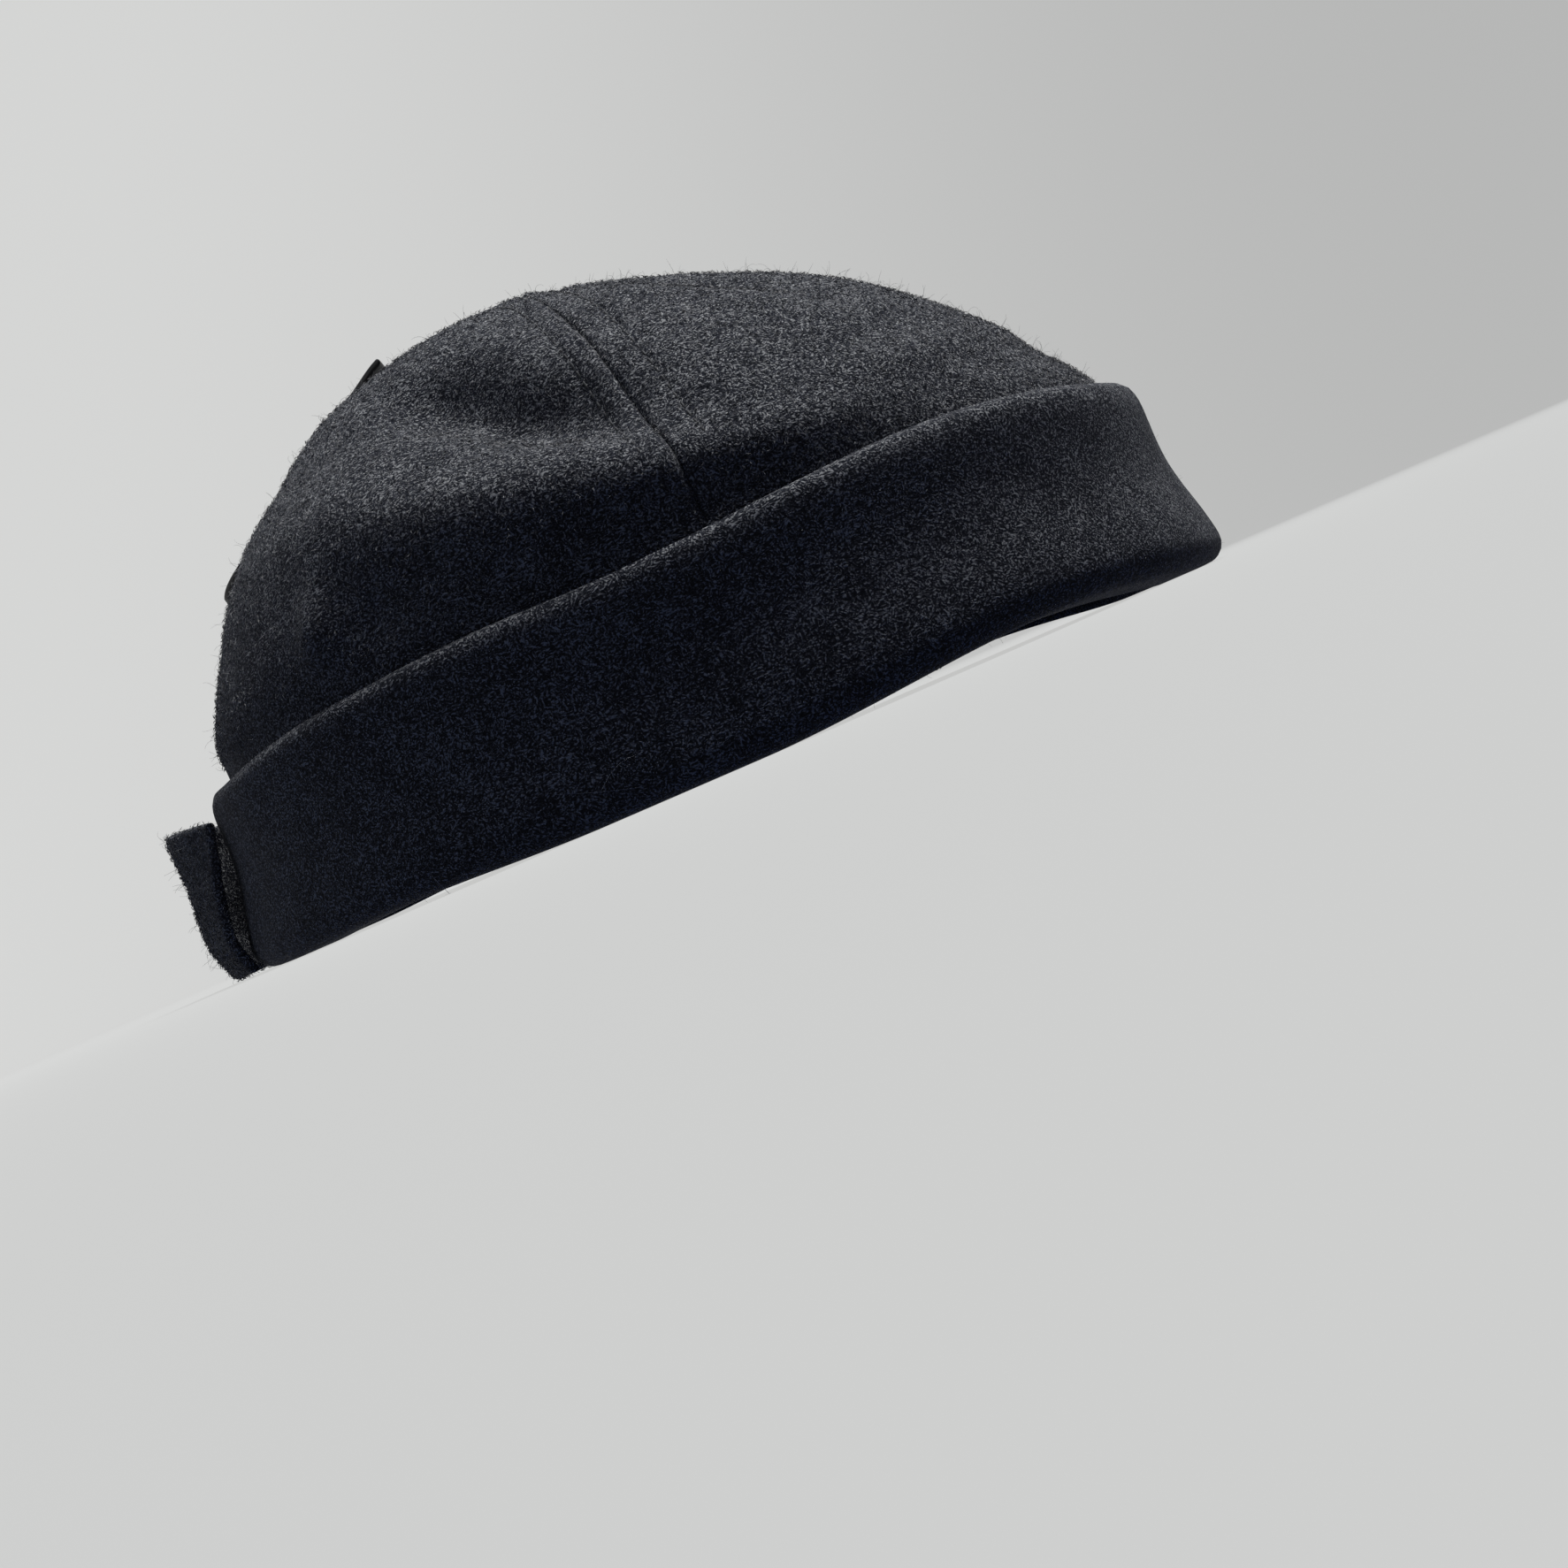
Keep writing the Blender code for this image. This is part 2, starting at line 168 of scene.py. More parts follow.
# The cuff's outer face from its fold down, as shares of its height and its flare
CUFF_FACE = [
    # height, flare
    (0.76, 0.00),
    (0.60, 0.02),
    (0.45, 0.24),
    (0.30, 0.64),
    (0.16, 0.94),
]

# How the strap stands off the cuff, as shares of strap_height, strap_bow and strap_end_gape
STRAP_BOW = [
    # height, bow, gape
    (0.00, 0.38, 0.00),
    (0.10, 0.47, 0.30),
    (0.25, 0.51, 0.80),
    (0.45, 0.60, 1.00),
    (0.65, 0.69, 0.95),
    (0.85, 0.90, 0.55),
    (1.00, 1.05, 0.15),
]

# Seams of the crown, and the side of each that its rib is on
SEAMS = [
    # azimuth, rib_side
    (0.0, 1),
    (side_seam_azimuth, 1),
    (180.0, 1),
    (-side_seam_azimuth, -1),
]

GORES = [
    # node, from_azimuth, to_azimuth, nap_seed
    ("crown_front_left", 0.0, side_seam_azimuth, 51),
    ("crown_back_left", side_seam_azimuth, 180.0, 52),
    ("crown_back_right", -180.0, -side_seam_azimuth, 53),
    ("crown_front_right", -side_seam_azimuth, 0.0, 54),
]

# Unevenness of the cloth: the size of its lumps, how far it stands in or out, and a seed
CROWN_RELIEF = [
    (34 * MM, 0.70 * MM, 11),
    (15 * MM, 0.28 * MM, 12),
    (5 * MM, 0.10 * MM, 13),
]
CUFF_RELIEF = [
    (42 * MM, 0.60 * MM, 21),
    (17 * MM, 0.30 * MM, 22),
    (6 * MM, 0.12 * MM, 23),
]
STRAP_RELIEF = [
    (16 * MM, 0.25 * MM, 31),
    (5 * MM, 0.10 * MM, 32),
]
pucker_size = 9 * MM
pucker_height = 0.22 * MM
pucker_reach = 9 * MM
pucker_seed = 14
cuff_top_wave = 0.7 * MM
cuff_top_wave_size = 30 * MM
cuff_top_wave_seed = 24

# Topstitching beside each side seam, on the crown
STITCH_ROWS = [
    # seam_azimuth, away, from_climb, to_climb
    (-side_seam_azimuth, 7.0 * MM, 0.34, 0.97),
    (-side_seam_azimuth, -5.6 * MM, 0.34, 0.97),
    (side_seam_azimuth, 5.6 * MM, 0.34, 0.97),
    (side_seam_azimuth, -7.0 * MM, 0.34, 0.97),
]
stitch_pitch = 3.2 * MM
stitch_length = 2.5 * MM
stitch_radius = 0.24 * MM
stitch_sink = 0.10 * MM
stitch_groove = 0.55 * MM
stitch_groove_width = 1.0 * MM
patch_stitch_inset = 2.4 * MM
patch_stitch_pitch = 3.4 * MM
patch_stitch_length = 0.75 * patch_stitch_pitch
patch_stitch_radius = 0.9 * stitch_radius
patch_groove = 0.18 * MM
patch_groove_width = 0.7 * MM

# Nap: short bent fibres that lie over the cloth and rise from it by an angle. NAP_SHARES says
# how many take each of FIBRE_TONES. Bends are shares of the length, thicknesses of nap_radius.
NAP_LENGTHS = (0.7 * MM, 1.6 * MM)
NAP_RISES = (4.0, 34.0)
NAP_THICKNESSES = (0.6, 1.3)
nap_side_bend = 0.2
nap_up_bend = 0.1
nap_radius = 0.085 * MM
nap_sink = 0.08 * MM
nap_low = 1.0 * MM
NAP_SHARES = (0.40, 0.38, 0.22)
gore_nap_count = 11500
cuff_nap_count = 24500
strap_nap_count = 3000
cuff_nap_seed = 61
strap_nap_seed = 62

# Fuzz: long loose fibres that stand off the cloth and curl
FUZZ_LENGTHS = (1.4 * MM, 4.0 * MM)
FUZZ_RISES = (35.0, 90.0)
fuzz_curl = 3.4
fuzz_sway = 0.6
fuzz_sway_start = 6.0
fuzz_sway_turn = 4.0
fuzz_taper = 0.6
fuzz_radius = 0.035 * MM
fuzz_rings = 6
gore_fuzz_count = 700
cuff_fuzz_count = 1500
strap_fuzz_count = 200

# Long pale hairs that cling to the cuff's lower part
LONG_HAIRS = [
    # azimuth, height, length
    (-98, 4.0 * MM, 15.0 * MM),
    (-103, 5.0 * MM, 13.0 * MM),
    (-124, 3.5 * MM, 14.0 * MM),
]
LONG_HAIR_RISES = (4.0, 10.0)
long_hair_radius = 0.05 * MM
long_hair_curl = 0.2
long_hair_seed = 45

# How finely the pieces are divided
gore_rows = 120
gore_columns = 96
gore_edge_crowd = 0.35
cuff_columns = 400
cuff_points = 66
strap_columns = 90
strap_rows = 50
patch_columns = 90
patch_rows = 44
edge_round_steps = 3
thread_sides = 6
thread_rings = 7

search_steps = 200
halvings = 30
THIRDS = np.radians([0.0, 120.0, 240.0])


def smooth_step(value):
    """A smooth rise from 0 to 1 as the value goes from 0 to 1."""
    value = np.clip(value, 0.0, 1.0)
    return value * value * (3.0 - 2.0 * value)


def turned_by(azimuth, other):
    """The angle in degrees from one azimuth to another, between -180 and 180."""
    return (azimuth - other + 180.0) % 360.0 - 180.0


def column(table, place):
    """One column of a table."""
    return np.array([row[place] for row in table], dtype=float)


def unit(vectors):
    """The vectors at a length of 1."""
    return vectors / np.maximum(np.linalg.norm(vectors, axis=-1, keepdims=True), 1e-12)


def lumps(points, size, seed):
    """Smooth noise from -1 to 1 at points, with lumps of about this size."""
    side = 32
    table = np.random.default_rng(seed).uniform(-1.0, 1.0, (side, side, side))
    place = np.asarray(points) / size
    cell = np.floor(place).astype(int)
    part = smooth_step(place - cell)
    total = np.zeros(place.shape[:-1])
    for corner in itertools.product((0, 1), repeat=3):
        share = np.prod(np.where(corner, part, 1.0 - part), axis=-1)
        at = (cell + corner) % side
        total += share * table[at[..., 0], at[..., 1], at[..., 2]]
    return total


def spline(values, after, place):
    """A smooth curve through evenly placed values, read at place from 0 to 1."""
    padded = np.concatenate([[2 * values[0] - values[1]], values, [after]])
    spans = len(values) - 1
    where = np.clip(np.asarray(place, dtype=float), 0.0, 1.0) * spans
    first = np.minimum(where.astype(int), spans - 1)
    part = where - first
    a, b, c, d = (padded[first + step] for step in range(4))
    bend = 2 * a - 5 * b + 4 * c - d
    twist = 3 * (b - c) + d - a
    return b + 0.5 * part * (c - a + part * (bend + part * twist))


def crown_reach(climb, place, size):
    """How far a section lies from the upright line, in the direction of one column."""
    shares = column(CROWN_SECTIONS, place)
    return size * spline(shares, -shares[-2], climb)


def crown_level(climb):
    """The height of a section above the crown's lower edge."""
    shares = column(CROWN_SECTIONS, 0)
    return crown_height * spline(shares, shares[-2], climb)


def cuff_station(azimuth, place):
    """One column of the cuff's stations at an azimuth, the same on both sides."""
    places = column(CUFF_STATIONS, 0)
    values = column(CUFF_STATIONS, place)
    away = np.abs(turned_by(np.asarray(azimuth, dtype=float), 0.0))
    after = np.clip(np.searchsorted(places, away, side="right"), 1, len(places) - 1)
    part = smooth_step((away - places[after - 1]) / (places[after] - places[after - 1]))
    return values[after - 1] + part * (values[after] - values[after - 1])


def crown_base(azimuth, climb):
    """A point of the crown's smooth outer form, before its seams and folds."""
    angle = np.radians(azimuth)
    front = crown_reach(climb, 1, crown_front)
    back = crown_reach(climb, 3, crown_back)
    forward = np.where(np.cos(angle) >= 0, front, back)
    sideways = crown_reach(climb, 2, crown_half_width)
    forward = np.maximum(forward, seam_hole_radius)
    sideways = np.maximum(sideways, seam_hole_radius)
    power = crown_squareness
    ahead = (np.abs(np.cos(angle)) / forward) ** power
    aside = (np.abs(np.sin(angle)) / sideways) ** power
    radius = (ahead + aside) ** (-1.0 / power)
    level = crown_level(climb)
    # The lower edge sits on the turned edge of the cuff, and follows its lift
    edge = cuff_wall + crown_shelf_gap + cuff_height * cuff_station(azimuth, 2)
    level = level + edge * (1.0 - smooth_step(level / cuff_height))
    return np.stack([radius * np.cos(angle), radius * np.sin(angle), level], axis=-1)


def crown_outward(azimuth, climb):
    """The outward direction of the crown's smooth form."""
    turn = 0.5
    rise = 0.004
    low = np.clip(climb - rise, 0.0, 1.0 - 2.5 * rise)
    high = low + 2.0 * rise
    across = crown_base(azimuth + turn, low) - crown_base(azimuth - turn, low)
    upward = crown_base(azimuth, high) - crown_base(azimuth, low)
    return unit(np.cross(across, upward))


def beside_seam(azimuth, radius, seam):
    """How far points lie from a seam's plane, with the sign of their side."""
    turned = np.radians(turned_by(azimuth, seam))
    far = np.where(np.abs(turned) < math.pi / 2, np.abs(radius * np.sin(turned)), radius)
    return far * np.sign(turned)


def seam_depth(azimuth, radius, climb):
    """How far the seams draw the crown in, less the rib beside each."""
    depth = np.zeros(np.broadcast(azimuth, radius).shape)
    fade = seam_dip_low_share + (1.0 - seam_dip_low_share) * smooth_step(climb)
    ribs = np.zeros_like(depth)
    for seam, rib_side in SEAMS:
        beside = beside_seam(azimuth, radius, seam)
        near = np.abs(beside)
        dip = seam_dip * fade * np.exp(-((near / seam_dip_width) ** 2))
        inside = np.clip(1.0 - near / seam_roll, 0.0, 1.0)
        roll = seam_roll * (1.0 - np.sqrt(1.0 - inside**2))
        depth = np.maximum(depth, dip + roll)
        rise = smooth_step(beside * rib_side / seam_rib_rise)
        fall = smooth_step((seam_rib_width - beside * rib_side) / seam_rib_rise)
        ribs = np.maximum(ribs, seam_rib * rise * fall)
    return depth - ribs


def stitch_depth(azimuth, radius, climb):
    """How far the rows of topstitching draw the crown in."""
    depth = np.zeros(np.broadcast(azimuth, radius).shape)
    for seam, away, start, stop in STITCH_ROWS:
        off = (beside_seam(azimuth, radius, seam) - away) / stitch_groove_width
        shown = (climb > start) & (climb < stop)
        depth += np.where(shown, stitch_groove * np.exp(-(off**2)), 0.0)
    return depth


def crown_side_length():
    """The length of the cloth from the crown's lower edge to its top, over its side."""
    climbs = np.linspace(0.0, 1.0, search_steps + 1)
    reach = crown_reach(climbs, 2, crown_half_width)
    level = crown_level(climbs)
    return float(np.sum(np.hypot(np.diff(reach), np.diff(level))))


def fold_depth(azimuth, radius, climb):
    """How far the dents and folds draw the crown in."""
    depth = np.zeros(np.broadcast(azimuth, radius).shape)
    meridian = crown_side_length()
    for place, at_climb, across, along, lean, deep in CROWN_FOLDS:
        sideways = np.radians(turned_by(azimuth, place)) * radius
        upward = (climb - at_climb) * meridian
        turn = math.radians(lean)
        a = (sideways * math.cos(turn) + upward * math.sin(turn)) / (across * crown_half_width)
        b = (upward * math.cos(turn) - sideways * math.sin(turn)) / (along * crown_half_width)
        depth += deep * crown_half_width * np.exp(-(a * a) - b * b)
    return depth


def relief(points, table):
    """The cloth's unevenness at points: how far it stands out."""
    return sum(height * lumps(points, size, seed) for size, height, seed in table)


def crown_point(azimuth, climb):
    """A point of the crown's outer face, with its seams, folds and unevenness."""
    base = crown_base(azimuth, climb)
    radius = np.hypot(base[..., 0], base[..., 1])
    sewn = seam_depth(azimuth, radius, climb) + stitch_depth(azimuth, radius, climb)
    depth = fold_depth(azimuth, radius, climb)
    nearest = np.min([np.abs(beside_seam(azimuth, radius, seam)) for seam, _ in SEAMS], axis=0)
    pucker = np.exp(-((nearest / pucker_reach) ** 2))
    depth -= pucker_height * pucker * lumps(base, pucker_size, pucker_seed)
    depth -= relief(base, CROWN_RELIEF) * smooth_step(nearest / pucker_reach)
    above = base[..., 2] - cuff_height
    depth = depth * smooth_step(above / fold_fade) + sewn * smooth_step(above / seam_fade)
    return base - crown_outward(azimuth, climb) * depth[..., None]


def under_place(x, y):
    """The azimuth and climb of the crown's smooth form under places in plan."""
    azimuth = np.degrees(np.arctan2(y, x))
    reach = np.hypot(x, y)
    low = np.full_like(reach, widest_climb())
    high = np.ones_like(reach)
    for _ in range(halvings):
        middle = 0.5 * (low + high)
        base = crown_base(azimuth, middle)
        outside = np.hypot(base[..., 0], base[..., 1]) > reach
        low = np.where(outside, middle, low)
        high = np.where(outside, high, middle)
    return azimuth, 0.5 * (low + high)


def widest_climb():
    """The climb at which the crown is widest."""
    return float(np.argmax(column(CROWN_SECTIONS, 2))) / (len(CROWN_SECTIONS) - 1)


def cuff_frame(azimuth):
    """The crown's widest outline, which the cuff stands round, and the level direction away."""
    widest = widest_climb()
    turn = 0.5
    place = crown_base(azimuth, widest)
    across = crown_base(azimuth + turn, widest) - crown_base(azimuth - turn, widest)
    outward = np.stack([across[..., 1], -across[..., 0]], axis=-1)
    return place[..., :2], unit(outward)


def cuff_face_out(azimuth, height_share):
    """How far the middle of the cuff's outer leaf stands from the crown's outline."""
    shares = [0.0, *column(CUFF_FACE, 0)[::-1]]
    flares = [1.0, *column(CUFF_FACE, 1)[::-1]]
    flare = cuff_flare * cuff_station(azimuth, 3) * np.interp(height_share, shares, flares)
    return cuff_stand_off - 0.5 * cuff_wall + flare


def cuff_path(azimuth):
    """The middle of the cuff's cloth at one azimuth, as (out, up): up the inner leaf, over the
    fold, down the outer leaf, and under to the crown's inner face."""
    height = cuff_height * cuff_station(azimuth, 1)
    inner = cuff_clearance + 0.5 * cuff_wall
    outer = cuff_stand_off - 0.5 * cuff_wall
    low_fold = height - 0.5 * cuff_wall - cuff_fold_drop
    path = [(inner, cuff_slot), (inner, 0.5 * (cuff_slot + low_fold))]
    for angle in np.linspace(math.pi, 0.0, 9):
        out = 0.5 * (inner + outer) + 0.5 * (outer - inner) * math.cos(angle)
        path.append((out, low_fold + cuff_fold_drop * math.sin(angle)))
    for share, _ in CUFF_FACE:
        path.append((cuff_face_out(azimuth, share), height * share))
    reach = outer + cuff_flare * cuff_station(azimuth, 3)
    for angle in np.linspace(0.0, 0.5 * math.pi, 5):
        out = reach - cuff_turn_radius * (1.0 - math.cos(angle))
        path.append((out, 0.5 * cuff_wall + cuff_turn_radius * (1.0 - math.sin(angle))))
    outline, outward = cuff_frame(azimuth)
    shelf_end = np.dot(crown_base(azimuth, 0.0)[:2] - outline, outward) - crown_wall
    path.append((0.5 * (reach - cuff_turn_radius + shelf_end), 0.5 * cuff_wall))
    path.append((shelf_end, 0.5 * cuff_wall))
    return np.array(path)


def rounded(path, rounds=2):
    """A path with its corners cut, its two ends kept."""
    for _ in range(rounds):
        near = 0.75 * path[:-1] + 0.25 * path[1:]
        far = 0.25 * path[:-1] + 0.75 * path[1:]
        middle = np.stack([near, far], axis=1).reshape(-1, path.shape[1])
        path = np.concatenate([path[:1], middle[1:-1], path[-1:]])
    return path


def lengths_along(line):
    """How far along a line of points each of them lies."""
    steps = np.linalg.norm(np.diff(line, axis=0), axis=1)
    return np.concatenate([[0.0], np.cumsum(steps)])


def evenly(path, count):
    """The path through the same places with this many evenly spaced points."""
    along = lengths_along(path)
    places = np.linspace(0.0, along[-1], count)
    return np.stack([np.interp(places, along, side) for side in path.T], axis=1)


def walled(path, wall):
    """The closed outline of cloth of this wall along a path in a plane, with round ends."""
    along = unit(np.gradient(path, axis=0))
    aside = np.stack([along[:, 1], -along[:, 0]], axis=1)
    ends = []
    for place, forward, side in ((path[-1], along[-1], -aside[-1]), (path[0], -along[0], aside[0])):
        for angle in np.linspace(-0.5 * math.pi, 0.5 * math.pi, edge_round_steps + 2)[1:-1]:
            out = forward * math.cos(angle) * 0.3 + side * math.sin(angle)
            ends.append(place + out * 0.5 * wall)
    half = len(ends) // 2
    left = path - aside * 0.5 * wall
    right = path + aside * 0.5 * wall
    return np.concatenate([right, ends[:half], left[::-1], ends[half:]])


def grid_faces(rows, columns, close_rows=False, close_columns=False):
    """Quads over a grid of points numbered row by row."""
    row = np.arange(rows if close_rows else rows - 1)[:, None]
    place = np.arange(columns if close_columns else columns - 1)[None, :]
    beside = (place + 1) % columns
    low = row * columns
    high = (row + 1) % rows * columns
    quads = np.broadcast_arrays(low + place, low + beside, high + beside, high + place)
    return np.stack(quads, axis=-1).reshape(-1, 4)


def placed(name, data):
    """A new object in the scene."""
    thing = bpy.data.objects.new(name, data)
    bpy.context.scene.collection.objects.link(thing)
    return thing


def mesh_piece(name, points, faces, *finishes, kinds=None):
    """A mesh object that rides on the hat, from points about the crown's upright line. Kinds
    give each face its finish."""
    points = points + np.array([axis_x, 0.0, 0.0])
    mesh = bpy.data.meshes.new(name)
    mesh.vertices.add(len(points))
    mesh.vertices.foreach_set("co", points.astype(np.float32).ravel())
    mesh.loops.add(faces.size)
    mesh.loops.foreach_set("vertex_index", faces.astype(np.int32).ravel())
    mesh.polygons.add(len(faces))
    starts = np.arange(0, faces.size, faces.shape[1], dtype=np.int32)
    mesh.polygons.foreach_set("loop_start", starts)
    mesh.polygons.foreach_set("use_smooth", np.ones(len(faces), dtype=bool))
    if kinds is not None:
        mesh.polygons.foreach_set("material_index", kinds.astype(np.int32))
    for finish in finishes:
        mesh.materials.append(finish)
    mesh.update(calc_edges=True)
    mesh.validate()
    piece = placed(name, mesh)
    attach(piece, "root")
    return piece


def outward_of(grid):
    """The unit normals of a grid of points."""
    return unit(np.cross(np.gradient(grid, axis=1), np.gradient(grid, axis=0)))


def edge_places(length, wall, count):
    """Places along a length, with extra ones where its two rounded edges turn."""
    turn = 0.5 * wall * (1.0 - np.cos(np.linspace(0.0, 0.5 * math.pi, edge_round_steps + 1)))
    inner = np.linspace(turn[-1], length - turn[-1], count)
    return np.concatenate([turn[:-1], inner, length - turn[-2::-1]])


def rounded_wall(nearest, wall):
    """The thickness of a sheet with rounded edges, by the distance to its nearest edge."""
    inside = np.clip(1.0 - nearest / (0.5 * wall), 0.0, 1.0)
    return wall * np.maximum(np.sqrt(1.0 - inside**2), 0.12)


def shell(name, outer, inner, finish, node):
    """A closed shell from its outer and inner grids, in place of a node of the CAD model.
    Returns the points and faces of its outer side."""
    rows, columns = outer.shape[:2]
    size = rows * columns
    outer = outer.reshape(-1, 3)
    shown = grid_faces(rows, columns)
    edge = border(np.arange(size).reshape(rows, columns))
    here = edge[:-1]
    after = edge[1:]
    rim = np.stack([after, here, here + size, after + size], axis=1)
    points = np.concatenate([outer, inner.reshape(-1, 3)])
    faces = np.concatenate([shown, shown[:, ::-1] + size, rim])
    piece = mesh_piece(name, points, faces, finish)
    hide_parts(node)
    return outer, shown


def gore(node, start, stop, finish):
    """One gore of the crown, with its seam allowances as a second layer inside. Its columns
    crowd towards its seams."""
    shares = np.linspace(0.0, 1.0, gore_columns + 1)
    crowded = (1.0 - gore_edge_crowd) * smooth_step(shares) + gore_edge_crowd * shares
    crowded = 0.5 * crowded + 0.5 * smooth_step(crowded)
    climb = np.linspace(0.0, 1.0, gore_rows + 1)[:, None]
    middle = crown_base(np.full_like(climb, 0.5 * (start + stop)), climb)
    radius = np.hypot(middle[..., 0], middle[..., 1])
    beyond = np.degrees(np.arcsin(np.minimum(0.5 * seam_overlap / radius, 0.4)))
    azimuth = start - beyond + (stop - start + 2 * beyond) * crowded[None, :]
    outer = crown_point(azimuth, np.broadcast_to(climb, azimuth.shape))
    radius = np.hypot(outer[..., 0], outer[..., 1])
    nearest = np.min([np.abs(beside_seam(azimuth, radius, seam)) for seam, _ in SEAMS], axis=0)
    extra = allowance_wall * smooth_step((seam_rib_width - nearest) / seam_rib_rise)
    extra *= smooth_step(radius / (4 * seam_rib_width) - 0.5)
    extra *= smooth_step(nearest / seam_roll)
    inner = outer - outward_of(outer) * (crown_wall + extra)[..., None]
    return shell(node + "_cloth", outer, inner, finish, node)


def seam_axis_x():
    """The x of the upright line through the seams' meeting point, as the CAD model has it."""
    flare = cuff_flare * cuff_station(0.0, 3)
    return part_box("cuff")[1].x - crown_front - cuff_stand_off - flare


def cuff(finish):
    """The cuff as one band of cloth, folded at its top and turned under at its lower edge."""
    rows = []
    for azimuth in np.linspace(0.0, 360.0, cuff_columns, endpoint=False):
        outline, outward = cuff_frame(azimuth)
        path = evenly(rounded(cuff_path(azimuth)), cuff_points)
        section = walled(path, cuff_wall)
        level = section[:, 1:] + cuff_height * cuff_station(azimuth, 2)
        place = np.concatenate([outline + outward * section[:, :1], level], axis=1)
        away = np.array([*outward, 0.0])
        rows.append(place + away * cuff_swell(place, section[:, 1])[:, None])
    rows = np.array(rows)
    # Its fold rises and falls gently
    level = smooth_step((rows[..., 2] / cuff_height - 0.45) / 0.5)
    around = rows * np.array([1.0, 1.0, 0.0])
    rows[..., 2] += cuff_top_wave * lumps(around, cuff_top_wave_size, cuff_top_wave_seed) * level
    faces = grid_faces(*rows.shape[:2], close_rows=True, close_columns=True)
    points = rows.reshape(-1, 3)
    piece = mesh_piece("cuff_cloth", points, faces, finish)
    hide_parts("cuff")
    return points, faces


def cuff_shown(surface):
    """The faces of the cuff that face away from the crown, above its lowest edge."""
    points, faces = surface
    corners = points[faces]
    crossed = quad_normals(corners)
    middle = corners.mean(axis=1)
    outline, outward = cuff_frame(np.degrees(np.arctan2(middle[:, 1], middle[:, 0])))
    away = np.sum((middle[:, :2] - outline) * outward, axis=1)
    shown = (np.sum(crossed[:, :2] * outward, axis=1) > 0) | (crossed[:, 2] > 0)
    outside = away > 0.5 * cuff_stand_off
    return points, faces[shown & outside & (middle[:, 2] > nap_low)]


def cuff_swell(places, up):
    """How far the cuff's cloth stands out by its unevenness, least at its lower edge."""
    held = smooth_step(up / (0.25 * cuff_height)) * 0.8 + 0.2
    return relief(places, CUFF_RELIEF) * held


def cuff_back_face(place, height, gap):
    """Points this far off the cuff's outer face, at shares of the strap's half length."""
    aside = strap_half_length * place / (crown_back + cuff_stand_off)
    azimuth = 180.0 - np.degrees(np.arcsin(aside))
    outline, outward = cuff_frame(azimuth)
    full = cuff_height * cuff_station(azimuth, 1)
    out = cuff_face_out(azimuth, height / full) + 0.5 * cuff_wall + gap
    face = np.concatenate([outline + outward * out[..., None], height[..., None]], axis=-1)
    swell = cuff_swell(face, height)
    face[..., :2] += outward * swell[..., None]
    return face


def strap(finish):
    """The strap over the back of the cuff, bowed away from it, most at its top."""
    along = edge_places(2 * strap_half_length, strap_wall, strap_columns)
    upward = edge_places(strap_height, strap_wall, strap_rows)
    along, upward = np.meshgrid(along, upward)
    place = 1.0 - along / strap_half_length
    rise = upward / strap_height
    rises = column(STRAP_BOW, 0)
    bow = strap_bow * np.interp(rise, rises, column(STRAP_BOW, 1))
    gape = strap_end_gape * np.interp(rise, rises, column(STRAP_BOW, 2))
    away = bow * (1.0 - place**2) ** strap_bow_power + gape
    height = strap_lift + (strap_height - strap_end_drop * place**2) * rise
    middle = cuff_back_face(place, height, strap_gap + 0.5 * strap_wall)
    middle[..., 0] -= away
    from_end = strap_half_length * (1.0 - np.abs(place))
    nearest = np.minimum(from_end, np.minimum(upward, strap_height - upward))
    wall = rounded_wall(nearest, strap_wall)
    outward = outward_of(middle)
    lumpy = relief(middle, STRAP_RELIEF) * smooth_step(nearest / strap_wall)
    outer = middle + outward * (0.5 * wall + lumpy)[..., None]
    inner = middle - outward * (0.5 * wall - lumpy * 0.5)[..., None]
    return shell("back_strap_cloth", outer, inner, finish, "back_strap")


